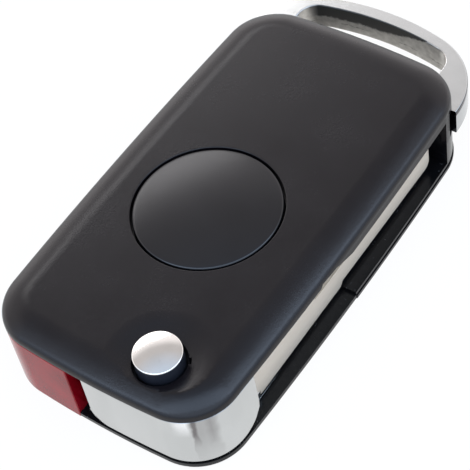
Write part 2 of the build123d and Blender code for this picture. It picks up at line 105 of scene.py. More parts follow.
def pickFaces(piece, test):
    # leaves edit mode open, with the faces selected whose middle and normal pass the test
    faces = openMesh(piece, "FACE").faces
    return pick(piece, [face for face in faces if test(face.calc_center_median(), face.normal)])


def pickEdges(piece, test, sharp=meshSet["sharpAngle"]):
    # leaves edit mode open, with the sharp edges selected whose two ends pass the test
    def wanted(edge):
        if len(edge.link_faces) != 2 or edge.calc_face_angle(0.0) < radians(sharp):
            return False
        return test(edge.verts[0].co) and test(edge.verts[1].co)

    return pick(piece, [edge for edge in openMesh(piece, "EDGE").edges if wanted(edge)])


def roundPicked(width):
    bpy.ops.mesh.bevel(
        offset=width, segments=meshSet["roundSteps"], profile=0.5, affect="EDGES",
        clamp_overlap=False,
    )
    leaveEdit()


def copyNode(nodeName, pieceName):
    # a merged copy of a CAD node, for a piece that keeps its shape and gets finer edges
    piece = nodes[nodeName].copy()
    piece.data = nodes[nodeName].data.copy()
    piece.name = pieceName
    piece.data.name = pieceName
    for key in list(piece.keys()):
        if key.startswith("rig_"):
            del piece[key]
    piece.parent = None
    piece.matrix_world = Matrix.Identity(4)
    piece.hide_render = False
    bpy.context.scene.collection.objects.link(piece)
    makeActive(piece)
    if piece.data.has_custom_normals:
        bpy.ops.mesh.customdata_custom_splitnormals_clear()
    bpy.ops.object.mode_set(mode="EDIT")
    bpy.ops.mesh.select_all(action="SELECT")
    bpy.ops.mesh.remove_doubles(threshold=meshSet["nodeWeld"])
    bpy.ops.mesh.dissolve_limited(angle_limit=radians(meshSet["flatAngle"]))
    bpy.ops.mesh.select_all(action="DESELECT")
    leaveEdit()
    return piece


def softEdges(piece, width, segments=2, angle=meshSet["sharpAngle"]):
    modifier = piece.modifiers.new("softEdges", "BEVEL")
    modifier.width = width
    modifier.segments = segments
    modifier.limit_method = "ANGLE"
    modifier.angle_limit = radians(angle)
    applyModifier(piece, modifier)


def smooth(piece, angle=meshSet["sharpAngle"], weighted=True):
    # large flat faces keep their own normal, so the soft edges beside them shade cleanly
    makeActive(piece)
    bpy.ops.object.shade_smooth_by_angle(angle=radians(angle))
    if weighted:
        modifier = piece.modifiers.new("evenShading", "WEIGHTED_NORMAL")
        modifier.keep_sharp = True
        applyModifier(piece, modifier)


def spinProfile(name, points, middle, steps):
    # draws a profile of (radius, height) points in millimetres and spins it about an upright axis
    deselectAll()
    bpy.ops.mesh.primitive_plane_add(size=mm, location=(0, 0, 0))
    piece = bpy.context.object
    piece.name = name
    piece.data.name = name
    bpy.ops.object.mode_set(mode="EDIT")
    bpy.ops.mesh.select_mode(type="VERT")
    bpy.ops.mesh.select_all(action="SELECT")
    bpy.ops.mesh.merge(type="CENTER")
    radius, height = points[0]
    bpy.ops.transform.translate(value=(middle[0] + radius * mm, middle[1], height * mm))
    for nextRadius, nextHeight in points[1:]:
        step = ((nextRadius - radius) * mm, 0, (nextHeight - height) * mm)
        bpy.ops.mesh.extrude_vertices_move(TRANSFORM_OT_translate={"value": step})
        radius, height = nextRadius, nextHeight
    bpy.ops.mesh.select_all(action="SELECT")
    bpy.ops.mesh.spin(steps=steps, angle=2 * pi, center=(*middle, 0), axis=(0, 0, 1))
    bpy.ops.mesh.select_all(action="SELECT")
    bpy.ops.mesh.remove_doubles(threshold=meshSet["spunWeld"])
    bpy.ops.mesh.normals_make_consistent(inside=False)
    bpy.ops.mesh.select_all(action="DESELECT")
    leaveEdit()
    return piece


def crownPoints(width, top, rise, count):
    # points of a shallow dome from the axis outwards
    ball = (width ** 2 + rise ** 2) / (2 * rise)
    radii = [width * index / count for index in range(count + 1)]
    return [(radius, top - ball + sqrt(ball ** 2 - radius ** 2)) for radius in radii]


def crownWithEdge(size):
    # the dome of a button and its round outer edge, from the axis outwards
    edge, count = size["edge"], size["edgeSteps"]
    inner = size["radius"] - edge
    dome = crownPoints(size["radius"], size["top"], size["rise"], size["crownSteps"])
    points = [point for point in dome if point[0] < inner]
    middle = points[-1][1] - edge - size["edgeSink"]
    for index in range(count + 1):
        turn = radians(size["edgeTurn"] * (count - index) / count)
        points.append((inner + edge * cos(turn), middle + edge * sin(turn)))
    return points


def dress(piece, *materials):
    piece.data.materials.clear()
    for material in materials:
        piece.data.materials.append(material)


def settle(piece, body, slot, *replaced):
    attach(piece, body)
    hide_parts(*replaced)


# Small helpers for node trees

def feed(tree, node, inputs):
    # an input takes another node's output, a colour or a plain value
    for label, value in inputs.items():
        socket = node.inputs[label]
        if isinstance(value, bpy.types.NodeSocket):
            tree.links.new(value, socket)
        else:
            socket.default_value = (*value, 1.0) if socket.type == "RGBA" else value


def addNode(tree, kind, inputs, **settings):
    node = tree.nodes.new(kind)
    for name, value in settings.items():
        setattr(node, name, value)
    feed(tree, node, inputs)
    return node


def mathNode(tree, operation, *values):
    return addNode(tree, "ShaderNodeMath", dict(enumerate(values)), operation=operation).outputs[0]


def multiply(tree, first, *others):
    for other in others:
        first = mathNode(tree, "MULTIPLY", first, other)
    return first


def addShare(tree, value, mask, share):
    # raises a value by a share of a mask
    return mathNode(tree, "ADD", value, multiply(tree, mask, share))


def vectorNode(tree, operation, first, second, output):
    inputs = {0: first, 1: second}
    return addNode(tree, "ShaderNodeVectorMath", inputs, operation=operation).outputs[output]


def noiseNode(tree, vector, scale, detail=2.0, roughness=0.5):
    inputs = {"Vector": vector, "Scale": scale, "Detail": detail, "Roughness": roughness}
    return addNode(tree, "ShaderNodeTexNoise", inputs).outputs["Fac"]


def rangeNode(tree, value, low, high, outLow=0.0, outHigh=1.0):
    inputs = {
        "Value": value, "From Min": low, "From Max": high, "To Min": outLow, "To Max": outHigh,
    }
    return addNode(tree, "ShaderNodeMapRange", inputs, clamp=True).outputs["Result"]


def rampNode(tree, value, stops):
    # blends between the colours of (position, colour) stops
    ramp = addNode(tree, "ShaderNodeValToRGB", {"Fac": value})
    elements = ramp.color_ramp.elements
    while len(elements) < len(stops):
        elements.new(0.5)
    for element, (position, color) in zip(elements, stops):
        element.position = position
        element.color = (*color, 1.0)
    return ramp.outputs["Color"]


def mixColor(tree, mask, first, second):
    # the mask, the two colours and their mix have fixed places among the node's many sockets
    inputs = {0: mask, 6: first, 7: second}
    return addNode(tree, "ShaderNodeMix", inputs, data_type="RGBA").outputs[2]


def bumpNode(tree, height, strength, distance):
    inputs = {"Height": height, "Strength": strength, "Distance": distance}
    return addNode(tree, "ShaderNodeBump", inputs).outputs["Normal"]


def objectPlace(tree):
    return tree.nodes.new("ShaderNodeTexCoord").outputs["Object"]


def splitVector(tree, vector):
    return addNode(tree, "ShaderNodeSeparateXYZ", {"Vector": vector}).outputs


# Shared effects, each built once as a group that several materials use. A noise is given as its
# scale, its detail and its roughness.

def newGroup(name, inputs, outputs):
    group = bpy.data.node_groups.new(name, "ShaderNodeTree")
    for label, value in inputs.items():
        kind = "NodeSocketVector" if isinstance(value, tuple) else "NodeSocketFloat"
        socket = group.interface.new_socket(label, in_out="INPUT", socket_type=kind)
        socket.default_value = value
    for label in outputs:
        group.interface.new_socket(label, in_out="OUTPUT", socket_type="NodeSocketFloat")
    given = group.nodes.new("NodeGroupInput").outputs
    return group, given, group.nodes.new("NodeGroupOutput")


grainSet = {"size": 9000.0, "patchSize": 90.0, "detail": 3.0, "fineRough": 0.6, "patchRough": 0.55}
wearSet = {
    "amount": 0.5, "breakSize": 1500.0, "breakDetail": 3.0,
    # pointiness from which an edge starts to wear, and at which it is worn through
    "edge": (0.53, 0.62), "broken": (0.4, 0.65),
}
dustSet = {
    "specks": 0.5, "speckSize": 2600.0, "dot": (0.06, 0.14),
    "rareSize": 420.0, "rare": (0.56, 0.64),
    "scratches": 0.5, "lean": (0.3, 0.5, 0.9), "stretch": (1.0, 90.0, 90.0),
    "lineNoise": (220.0, 1.0), "line": (0.7, 0.73),
}
brushSet = {"stretch": (900.0, 60.0, 9000.0), "lineNoise": (1.0, 3.0, 0.6), "bandSize": 0.14}


def buildGrain(values):
    # fine moulded grain with slow uneven patches
    inputs = {"Size": values["size"], "Patch Size": values["patchSize"]}
    group, given, out = newGroup("mouldGrain", inputs, ("Height", "Patches"))
    place, detail = objectPlace(group), values["detail"]
    feed(group, out, {
        "Height": noiseNode(group, place, given["Size"], detail, values["fineRough"]),
        "Patches": noiseNode(group, place, given["Patch Size"], detail, values["patchRough"]),
    })
    return group


def buildEdgeWear(values):
    # mask that is 1 on worn outer edges, broken up by noise
    inputs = {"Amount": values["amount"], "Break Size": values["breakSize"]}
    group, given, out = newGroup("edgeWear", inputs, ("Mask",))
    pointy = group.nodes.new("ShaderNodeNewGeometry").outputs["Pointiness"]
    edge = rangeNode(group, pointy, *values["edge"])
    noise = noiseNode(group, objectPlace(group), given["Break Size"], values["breakDetail"])
    broken = rangeNode(group, noise, *values["broken"])
    feed(group, out, {"Mask": multiply(group, edge, broken, given["Amount"])})
    return group


def buildDust(values):
    # tiny specks and short hair scratches
    inputs = {
        "Specks": values["specks"], "Scratches": values["scratches"],
        "Speck Size": values["speckSize"],
    }
    group, given, out = newGroup("dustAndScratches", inputs, ("Speck Mask", "Scratch Mask"))
    place = objectPlace(group)
    inputs = {"Vector": place, "Scale": given["Speck Size"]}
    cells = addNode(group, "ShaderNodeTexVoronoi", inputs, feature="F1")
    dot = rangeNode(group, cells.outputs["Distance"], *values["dot"], 1.0, 0.0)
    rare = rangeNode(group, noiseNode(group, place, values["rareSize"]), *values["rare"])
    inputs = {"Vector": place, "Rotation": values["lean"], "Scale": values["stretch"]}
    stretched = addNode(group, "ShaderNodeMapping", inputs).outputs["Vector"]
    lines = noiseNode(group, stretched, *values["lineNoise"])
    lines = rangeNode(group, lines, *values["line"])
    feed(group, out, {
        "Speck Mask": multiply(group, dot, rare, given["Specks"]),
        "Scratch Mask": multiply(group, lines, given["Scratches"]),
    })
    return group


def buildBrush(values):
    # long fine lines along one direction, as drawn or buffed metal has
    inputs = {"Stretch": values["stretch"]}
    group, given, out = newGroup("brushLines", inputs, ("Lines", "Bands"))
    scaled = vectorNode(group, "MULTIPLY", objectPlace(group), given["Stretch"], "Vector")
    feed(group, out, {
        "Lines": noiseNode(group, scaled, *values["lineNoise"]),
        "Bands": noiseNode(group, scaled, values["bandSize"]),
    })
    return group


grainGroup = buildGrain(grainSet)
wearGroup = buildEdgeWear(wearSet)
dustGroup = buildDust(dustSet)
brushGroup = buildBrush(brushSet)
print("shared effects built")


# Materials

# the span in which a noise texture's values mostly lie
noiseSpan = (0.3, 0.7)


def newMaterial(name):
    material = bpy.data.materials.new(name)
    material.use_nodes = True
    tree = material.node_tree
    return material, tree, tree.nodes["Principled BSDF"]


def useGroup(tree, group, inputs):
    return addNode(tree, "ShaderNodeGroup", inputs, node_tree=group).outputs


def layeredBase(tree, look, drift, wearBreak):
    # a colour that drifts between dark and light, with worn edges and specks, and the dust's masks
    dust = useGroup(tree, dustGroup, {"Specks": look["specks"], "Scratches": look["scratches"]})
    wear = useGroup(tree, wearGroup, {"Amount": look["wear"], "Break Size": wearBreak})
    base = mixColor(tree, rangeNode(tree, drift, *noiseSpan), look["dark"], look["light"])
    base = mixColor(tree, wear["Mask"], base, look["worn"])
    return mixColor(tree, dust["Speck Mask"], base, look["speck"]), dust


plasticSet = {"wearBreak": 1800.0, "scratchRough": 0.25, "speckRough": 0.3, "topGloss": 0.5}


def plasticMaterial(name, look):
    material, tree, shader = newMaterial(name)
    inputs = {"Size": look["grainSize"], "Patch Size": look["patchSize"]}
    grain = useGroup(tree, grainGroup, inputs)
    base, dust = layeredBase(tree, look, grain["Patches"], plasticSet["wearBreak"])
    vary = look["roughVary"]
    rough = rangeNode(
        tree, grain["Patches"], *noiseSpan, look["rough"] - vary, look["rough"] + vary
    )
    fine = rangeNode(tree, grain["Height"], *noiseSpan, -vary, vary)
    rough = mathNode(tree, "ADD", rough, fine)
    rough = addShare(tree, rough, dust["Scratch Mask"], plasticSet["scratchRough"])
    rough = addShare(tree, rough, dust["Speck Mask"], plasticSet["speckRough"])
    bump = bumpNode(tree, grain["Height"], look["bump"], look["bumpDepth"])
    feed(tree, shader, {
        "Base Color": base, "Roughness": rough, "Normal": bump, "IOR": look["ior"],
    })
    if "dullWall" in look:
        # the lower wall, where the mould halves meet, came out dull
        height = splitVector(tree, objectPlace(tree))["Z"]
        gloss = rangeNode(tree, height, *look["dullWall"], plasticSet["topGloss"])
        feed(tree, shader, {"Specular IOR Level": gloss})
    return material


coverBlackLook = {
    "dark": (0.0034, 0.0024, 0.0034), "light": (0.005, 0.0038, 0.0048),
    "worn": (0.02, 0.02, 0.022), "speck": (0.05, 0.05, 0.05),
    "rough": 0.24, "roughVary": 0.03, "ior": 1.44, "grainSize": 4500.0, "patchSize": 110.0,
    "wear": 0.3, "specks": 0.25, "scratches": 0.05, "bump": 0.5, "bumpDepth": 0.03 * mm,
    # height at which the wall is dullest, height from which it is glossy, and the dullest gloss
    "dullWall": (10.15 * mm, 10.7 * mm, 0.15),
}
coverBlack = plasticMaterial("coverBlack", coverBlackLook)

backBlackLook = {
    "dark": (0.003, 0.003, 0.0035), "light": (0.0045, 0.0045, 0.005),
    "worn": (0.02, 0.02, 0.022), "speck": (0.3, 0.3, 0.31),
    "rough": 0.2, "roughVary": 0.02, "ior": 1.3, "grainSize": 7000.0, "patchSize": 160.0,
    "wear": 0.3, "specks": 0.8, "scratches": 0.35, "bump": 0.1, "bumpDepth": 0.01 * mm,
}
backBlack = plasticMaterial("backBlack", backBlackLook)

# black plastic with its blue-grey sheen painted into a lighter bluish base colour
barrelBlackLook = dict(
    backBlackLook, dark=(0.01, 0.0115, 0.017), light=(0.014, 0.016, 0.022), rough=0.3, ior=1.42,
    specks=0.2,
)
barrelBlack = plasticMaterial("barrelBlack", barrelBlackLook)

buttonBlackLook = {
    "dark": (0.003, 0.003, 0.0042), "light": (0.0042, 0.0042, 0.0055),
    "worn": (0.02, 0.02, 0.023), "speck": (0.08, 0.08, 0.08),
    "rough": 0.19, "roughVary": 0.012, "ior": 1.54, "grainSize": 9000.0, "patchSize": 140.0,
    "wear": 0.3, "specks": 0.2, "scratches": 0.03, "bump": 0.3, "bumpDepth": 0.012 * mm,
}
buttonBlack = plasticMaterial("buttonBlack", buttonBlackLook)

padRubberLook = {
    "dark": (0.2, 0.2, 0.2), "light": (0.25, 0.25, 0.25),
    "worn": (0.35, 0.35, 0.35), "speck": (0.4, 0.4, 0.4),
    "rough": 0.65, "roughVary": 0.04, "ior": 1.41, "grainSize": 9000.0, "patchSize": 200.0,
    "wear": 0.2, "specks": 0.3, "scratches": 0.0, "bump": 0.3, "bumpDepth": 0.02 * mm,
}
padRubber = plasticMaterial("padRubber", padRubberLook)

metalSet = {"wearBreak": 1600.0, "scratchRough": 0.15}


def metalMaterial(name, look, finish=None):
    # finish may change the colour and the roughness where a piece needs its own marks, painted
    # reflections and painted shade
    material, tree, shader = newMaterial(name)
    brush = useGroup(tree, brushGroup, {"Stretch": look["stretch"]})
    base, dust = layeredBase(tree, look, brush["Bands"], metalSet["wearBreak"])
    low, high = look["rough"] - look["roughVary"], look["rough"] + look["roughVary"]
    rough = rangeNode(tree, brush["Lines"], *noiseSpan, low, high)
    rough = addShare(tree, rough, dust["Scratch Mask"], metalSet["scratchRough"])
    if finish:
        base, rough = finish(tree, base, rough)
    bump = bumpNode(tree, brush["Lines"], look["bump"], look["bumpDepth"])
    feed(tree, shader, {
        "Base Color": base, "Roughness": rough, "Normal": bump,
        "Metallic": look.get("metallic", 1.0),
    })
    return material


# the values of plain bright chrome, from which every other metal starts
chromeLook = {
    "dark": (0.76, 0.77, 0.77), "light": (0.8, 0.81, 0.81), "worn": (0.7, 0.69, 0.67),
    "speck": (0.5, 0.5, 0.5), "rough": 0.06, "roughVary": 0.015, "stretch": (600.0, 600.0, 600.0),
    "wear": 0.2, "specks": 0.3, "scratches": 0.3, "bump": 0.04, "bumpDepth": 0.01 * mm,
}

discChromeLook = dict(
    chromeLook, dark=(0.9, 0.885, 0.85), light=(0.99, 0.975, 0.94), rough=0.1,
    stretch=(2600.0, 2200.0, 600.0),
)
discChrome = metalMaterial("discChrome", discChromeLook)

# a painted dark reflection under the loop's outer top edge, and a painted dimmer reflection on the
# wall below it
ringPaintedReflection = {
    "low": 8.6 * mm, "high": 9.29 * mm, "soft": 0.08 * mm, "fade": (9.5 * mm, 13.0 * mm),
    "color": (0.06, 0.06, 0.065), "dimWallReflection": (0.5, 0.51, 0.515),
}


def paintRingReflection(tree, base, rough):
    # painted reflection: a dark line under the outer top edge of the loop's corner, and the wall
    # below that edge painted darker
    parts = splitVector(tree, objectPlace(tree))
    low, high, soft = ringPaintedReflection["low"], ringPaintedReflection["high"], ringPaintedReflection["soft"]
    wall = rangeNode(tree, parts["Z"], high, high - soft)
    base = mixColor(tree, wall, base, ringPaintedReflection["dimWallReflection"])
    above = rangeNode(tree, parts["Z"], low - soft, low)
    corner = rangeNode(tree, parts["X"], *ringPaintedReflection["fade"])
    return mixColor(tree, multiply(tree, wall, above, corner), base, ringPaintedReflection["color"]), rough


ringChromeLook = dict(
    chromeLook, dark=(0.66, 0.685, 0.68), light=(0.71, 0.735, 0.73), rough=0.17, roughVary=0.04,
    stretch=(2200.0, 2200.0, 2200.0), bump=0.12, bumpDepth=0.02 * mm,
)
ringChrome = metalMaterial("ringChrome", ringChromeLook, paintRingReflection)

# a painted dark reflection of the case along the top of the loop's inner wall, and the real casting
# seam below it
ringInnerSeamAndReflection = {
    "from": 7.2 * mm, "soft": 0.3 * mm, "color": (0.085, 0.082, 0.075), "rough": 0.15,
    "raggedNoise": (1400.0, 4.0, 0.7), "raggedSpan": (0.2, 0.8), "ragged": 0.3 * mm,
    # the band is level up to the first place along X and has sunk by the last value at the second
    "along": (0.5 * mm, 8.5 * mm, -2.2 * mm),
    # at the left end the wall stays bright
    "leftEnd": (-10.7 * mm, -9.8 * mm),
    "seam": 6.55 * mm, "seamWidth": 0.07 * mm, "seamCore": 0.021 * mm,
    "seamColor": (0.12, 0.11, 0.1), "gapNoise": (260.0, 1.0), "gaps": (0.5, 0.56, 0.0, 0.8),
}


def ringSeamAndPaintedReflection(tree, base, rough):
    # the loop's inner wall: a painted dark reflection of the case along its upper half, and a
    # broken casting seam below
    place = objectPlace(tree)
    parts = splitVector(tree, place)
    ragged, low = ringInnerSeamAndReflection["ragged"], ringInnerSeamAndReflection["from"]
    noise = noiseNode(tree, place, *ringInnerSeamAndReflection["raggedNoise"])
    noise = rangeNode(tree, noise, *ringInnerSeamAndReflection["raggedSpan"], -ragged, ragged)
    height = mathNode(tree, "ADD", parts["Z"], noise)
    start, end, sink = ringInnerSeamAndReflection["along"]
    reflectionEdgeHeight = mathNode(tree, "ADD", height, rangeNode(tree, parts["X"], start, end, 0.0, sink))
    reflectionBand = rangeNode(tree, reflectionEdgeHeight, low, low + ringInnerSeamAndReflection["soft"])
    reflectionBand = multiply(tree, reflectionBand, rangeNode(tree, parts["X"], *ringInnerSeamAndReflection["leftEnd"]))
    off = mathNode(tree, "ABSOLUTE", mathNode(tree, "SUBTRACT", height, ringInnerSeamAndReflection["seam"]))
    seam = rangeNode(tree, off, ringInnerSeamAndReflection["seamCore"], ringInnerSeamAndReflection["seamWidth"], 1.0, 0.0)
    gaps = rangeNode(tree, noiseNode(tree, place, *ringInnerSeamAndReflection["gapNoise"]), *ringInnerSeamAndReflection["gaps"])
    base = mixColor(tree, multiply(tree, seam, gaps), base, ringInnerSeamAndReflection["seamColor"])
    # the painted dark reflection along the upper wall
    base = mixColor(tree, reflectionBand, base, ringInnerSeamAndReflection["color"])
    return base, addShare(tree, rough, reflectionBand, ringInnerSeamAndReflection["rough"])


ringInnerLook = dict(
    ringChromeLook, dark=(0.42, 0.4, 0.37), light=(0.58, 0.56, 0.52), rough=0.36, roughVary=0.08,
    stretch=(9000.0, 9000.0, 9000.0), bump=0.5, bumpDepth=0.03 * mm, specks=0.6,
)
ringInner = metalMaterial("ringInner", ringInnerLook, ringSeamAndPaintedReflection)

# painted reflections as streaks round the hub's near corner, and painted shade on the neck in the
# gap round the release button
hubPaintedLight = {
    "cornerMiddle": (9.85 * mm, -26.8 * mm), "wobbleSize": 380.0, "wobbleSpan": (0.2, 0.8),
    "wobble": 0.05,
    # turn about the corner in degrees, and how dark (below 0) or bright (above 0) the painted
    # reflection is there
    "reflectionStreaks": (
        (-78, 0.0), (-70, 0.6), (-61, 0.8), (-58, 0.0), (-55, -1.0), (-52.5, -1.0), (-50, -0.4),
        (-44, -0.36), (-38, -0.6), (-34, -0.42), (-29, 0.0),
    ),
    "darkReflection": (0.19, 0.18, 0.18), "brightReflection": (0.98, 0.99, 1.0),
    # heights between which a streak gains its full strength, and what it has below them
    "brightFade": (6.8 * mm, 9.4 * mm, 0.0), "darkFade": (4.4 * mm, 7.4 * mm, 0.4),
    "footFade": (1.6 * mm, 7.2 * mm, 0.2),
    # the neck is painted dark as shade in the gap round the release button
    "neck": (10.02 * mm, 10.12 * mm), "neckShadeColor": (0.02, 0.02, 0.022), "neckRough": 0.3,
}


def paintHubReflectionsAndShade(tree, base, rough):
    # painted reflections as light and dark streaks round the near corner, and painted shade on the
    # neck down in the gap
    place = objectPlace(tree)
    parts = splitVector(tree, place)
    across = mathNode(tree, "SUBTRACT", parts["X"], hubPaintedLight["cornerMiddle"][0])
    ahead = mathNode(tree, "SUBTRACT", parts["Y"], hubPaintedLight["cornerMiddle"][1])
    noise = noiseNode(tree, place, hubPaintedLight["wobbleSize"])
    wobble = hubPaintedLight["wobble"]
    noise = rangeNode(tree, noise, *hubPaintedLight["wobbleSpan"], -wobble, wobble)
    turn = mathNode(tree, "ADD", mathNode(tree, "ARCTAN2", ahead, across), noise)
    # on the ramp middle grey means no streak, black a dark one and white a bright one
    plain = 0.5
    reflectionStreaks = [(radians(angle), plain + level / 2) for angle, level in hubPaintedLight["reflectionStreaks"]]
    first, last = reflectionStreaks[0][0], reflectionStreaks[-1][0]
    stops = [((angle - first) / (last - first), (grey,) * 3) for angle, grey in reflectionStreaks]
    # the painted reflections, light and dark, by turn about the corner
    reflectedRamp = rampNode(tree, rangeNode(tree, turn, first, last), stops)
    dark = rangeNode(tree, reflectedRamp, plain, 0.0)
    dark = mathNode(tree, "MINIMUM", dark, rangeNode(tree, parts["Z"], *hubPaintedLight["darkFade"]))
    dark = multiply(tree, dark, rangeNode(tree, parts["Z"], *hubPaintedLight["footFade"]))
    base = mixColor(tree, dark, base, hubPaintedLight["darkReflection"])
    bright = rangeNode(tree, reflectedRamp, plain, 1.0)
    bright = multiply(tree, bright, rangeNode(tree, parts["Z"], *hubPaintedLight["brightFade"]))
    base = mixColor(tree, bright, base, hubPaintedLight["brightReflection"])
    neck = rangeNode(tree, parts["Z"], *hubPaintedLight["neck"])
    base = mixColor(tree, neck, base, hubPaintedLight["neckShadeColor"])
    return base, addShare(tree, rough, neck, hubPaintedLight["neckRough"])


satinChromeLook = dict(
    chromeLook, dark=(0.53, 0.54, 0.535), light=(0.58, 0.59, 0.585), rough=0.2, roughVary=0.03,
    stretch=(1500.0, 1500.0, 700.0), bump=0.16, bumpDepth=0.014 * mm,
)
satinChrome = metalMaterial("satinChrome", satinChromeLook, paintHubReflectionsAndShade)

bladeNickelLook = dict(
    chromeLook, dark=(0.62, 0.54, 0.44), light=(0.66, 0.58, 0.475), worn=(0.7, 0.64, 0.56),
    rough=0.55, roughVary=0.05, stretch=(6000.0, 260.0, 6000.0), scratches=0.5, bump=0.25,
    bumpDepth=0.012 * mm, metallic=0.55,
)
bladeNickel = metalMaterial("bladeNickel", bladeNickelLook)

springSteelLook = dict(
    chromeLook, dark=(0.42, 0.42, 0.43), light=(0.5, 0.5, 0.51), rough=0.24, roughVary=0.04,
    stretch=(3000.0, 3000.0, 3000.0), bump=0.1,
)
springSteel = metalMaterial("springSteel", springSteelLook)

contactMetalLook = dict(
    chromeLook, dark=(0.58, 0.51, 0.34), light=(0.66, 0.6, 0.42), rough=0.26, roughVary=0.05,
    stretch=(3000.0, 300.0, 3000.0), bump=0.12,
)
contactMetal = metalMaterial("contactMetal", contactMetalLook)

lensRedLook = {
    "deep": (0.17, 0.001, 0.004), "thin": (0.3, 0.002, 0.008), "rough": (0.1, 0.15),
    "scratchRough": 0.15, "ior": 1.36, "gloss": 0.25, "through": 0.12, "grainSize": 5000.0,
    "patchSize": 180.0, "scratches": 0.4, "bump": 0.05, "bumpDepth": 0.01 * mm,
}


def lensMaterial(name, look):
    material, tree, shader = newMaterial(name)
    inputs = {"Size": look["grainSize"], "Patch Size": look["patchSize"]}
    grain = useGroup(tree, grainGroup, inputs)
    dust = useGroup(tree, dustGroup, {"Scratches": look["scratches"]})
    patches = rangeNode(tree, grain["Patches"], *noiseSpan)
    rough = rangeNode(tree, grain["Patches"], *noiseSpan, *look["rough"])
    feed(tree, shader, {
        "Base Color": mixColor(tree, patches, look["deep"], look["thin"]),
        "Roughness": addShare(tree, rough, dust["Scratch Mask"], look["scratchRough"]),
        "Normal": bumpNode(tree, grain["Height"], look["bump"], look["bumpDepth"]),
        "IOR": look["ior"],
        "Specular IOR Level": look["gloss"],
        "Transmission Weight": look["through"],
    })
    return material


lensRed = lensMaterial("lensRed", lensRedLook)
print("materials built")


# CAD nodes whose shape is right keep their mesh and get the finish

for name, material in (
    ("bottom_cover", backBlack), ("blade_pin", springSteel), ("release_barrel", barrelBlack),
    ("ring_pin_left", springSteel), ("ring_pin_right", springSteel),
    ("battery_contact_plus", contactMetal), ("battery_contact_minus", contactMetal),
):
    dress(nodes[name], material)
print("CAD nodes dressed")


# Case: top cover, battery cover and lens

caseSet = {
    "holesFrom": 10.9 * mm, "buttonHole": 9.76 * mm, "releaseHole": 3.32 * mm,
    "holeNear": 0.03 * mm, "holeEdge": 0.12 * mm, "lidEdge": 0.08 * mm,
    "lensEdge": 0.18 * mm, "lensSteps": 3,
}


def buildTopCover(size):
    cover = copyNode("top_cover", "topCover")

    def onHole(point):
        # the top edges of the button hole and of the release hole
        fromButton = hypot(point.x - buttonMiddle[0], point.y - buttonMiddle[1])
        fromRelease = hypot(point.x - pivot[0], point.y - pivot[1])
        off = min(abs(fromButton - size["buttonHole"]), abs(fromRelease - size["releaseHole"]))
        return point.z >= size["holesFrom"] and off < size["holeNear"]

    print("top cover hole edges:", pickEdges(cover, onHole))
    roundPicked(size["holeEdge"])
    smooth(cover)
    dress(cover, coverBlack)
    settle(cover, "case", "cover_black", "top_cover")


def buildBatteryCover(size):
    lid = copyNode("battery_cover", "batteryCover")
    softEdges(lid, size["lidEdge"])
    smooth(lid)
    dress(lid, backBlack)
    settle(lid, "battery_lid", "back_black", "battery_cover")


def buildLens(size):
    lens = copyNode("ir_lens", "redLens")
    softEdges(lens, size["lensEdge"], size["lensSteps"])
    smooth(lens)
    dress(lens, lensRed)
    settle(lens, "case", "lens_red", "ir_lens")


buildTopCover(caseSet)
buildBatteryCover(caseSet)
buildLens(caseSet)
print("case built")


# Push button and its rubber pad, in millimetres

buttonSet = {
    "radius": 9.48, "top": 12.7, "rise": 0.45, "crownSteps": 24,
    "edge": 0.3, "edgeTurn": 84, "edgeSink": 0.015, "edgeSteps": 6, "steps": 144, "shade": 40,
    # wall, flange, hollow and stem, from the outer edge down and inwards
    "under": (
        (9.48, 10.65), (9.58, 10.55), (10.24, 10.55), (10.3, 10.49), (10.3, 10.11),
        (10.24, 10.05), (8.54, 10.05), (8.48, 10.11), (8.48, 11.05), (8.28, 11.25),
        (2.8, 11.25), (2.6, 11.05), (2.6, 9.7), (2.5, 9.6), (0, 9.6),
    ),
}
padSet = {
    "steps": 96, "shade": 40,
    # dome and web from below, then the rim, and back over the web and the dome
    "profile": (
        (0, 9.1), (2.1, 9.1), (2.6, 8.95), (3.0, 8.5), (9.25, 8.5), (9.35, 8.45), (9.35, 8.3),
        (10.4, 8.3), (10.45, 8.35), (10.45, 9.2), (10.35, 9.3), (9.45, 9.3), (9.35, 9.2),
        (9.25, 8.8), (3.4, 8.8), (3.1, 8.9), (2.65, 9.4), (2.45, 9.55), (0, 9.55),
    ),
}


def buildButton(size):
    profile = crownWithEdge(size) + list(size["under"])
    button = spinProfile("pushButton", profile, buttonMiddle, size["steps"])
    smooth(button, size["shade"])
    dress(button, buttonBlack)
    settle(button, "button", "button_black", "button_cap")


def buildPad(size):
    pad = spinProfile("rubberPad", size["profile"], buttonMiddle, size["steps"])
    smooth(pad, size["shade"])
    dress(pad, padRubber)
    settle(pad, "case", "pad_rubber", "button_pad")
    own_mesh(pad)


buildButton(buttonSet)
buildPad(padSet)
print("push button built")


# Release button, in millimetres: polished disc, and the coil spring under the barrel

discSet = {
    "radius": 3.0, "top": 14.1, "rise": 0.3, "crownSteps": 16,
    "edge": 0.13, "edgeTurn": 84, "edgeSink": 0.012, "edgeSteps": 6, "steps": 96, "shade": 40,
    "under": ((0, 13.55), (2.95, 13.55), (3.0, 13.6)),
}
springSet = {
    "coil": 3.5, "wire": 0.3, "low": 1.3, "pitch": 1.25, "turns": 4,
    "wireSteps": 14, "turnSteps": 40, "shade": 50,
}


def buildDisc(size):
    profile = list(size["under"]) + crownWithEdge(size)[::-1]
    disc = spinProfile("releaseDisc", profile, pivot, size["steps"])
    smooth(disc, size["shade"])
    dress(disc, discChrome)
    settle(disc, "release", "bright_chrome", "release_cap")


